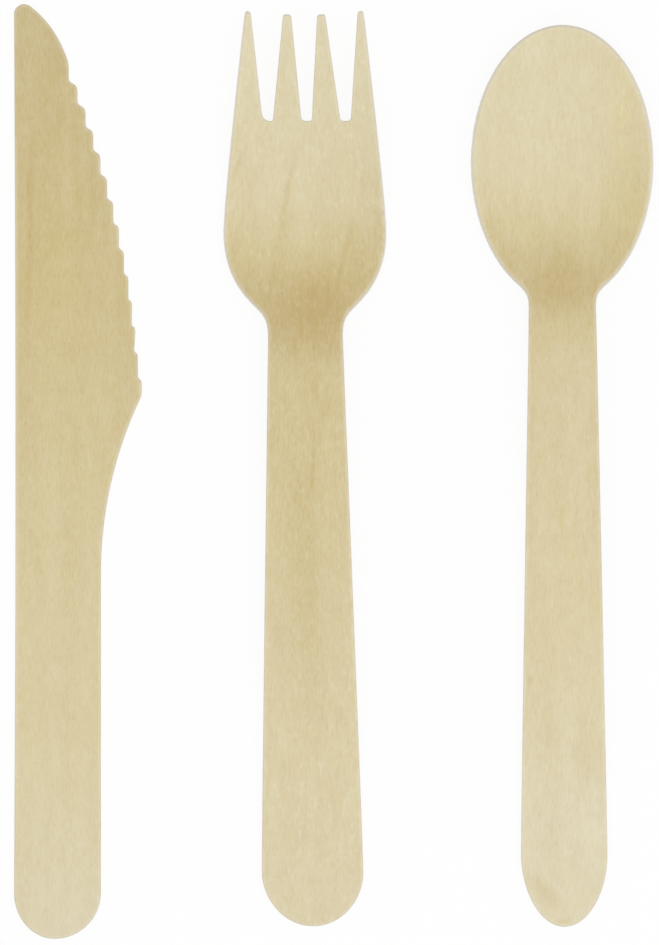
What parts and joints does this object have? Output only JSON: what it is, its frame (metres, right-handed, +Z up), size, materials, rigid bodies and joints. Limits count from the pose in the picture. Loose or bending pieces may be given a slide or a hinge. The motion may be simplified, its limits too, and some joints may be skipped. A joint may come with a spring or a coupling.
{
  "type": "wooden cutlery set",
  "caption": "Disposable birch knife, fork and spoon laid side by side, each punched from thin sheet, with the fork's head and the spoon's bowl pressed to shape, for eating.",
  "frame": {"origin": "centre of the set's footprint, on the surface that it lies on", "axes": "+Y along the pieces towards the tips, +X from the knife to the spoon, +Z up"},
  "size_m": [0.113, 0.165, 0.0074],
  "materials": {
    "knife_birch": "bare birch veneer, smooth from the press, matt",
    "fork_birch": "bare birch veneer, smooth from the press, matt",
    "spoon_birch": "bare birch veneer, smooth from the press, matt"
  },
  "bodies": {
    "root": {"knife": "knife_birch", "fork": "fork_birch", "spoon": "spoon_birch"}
  },
  "joints": []
}
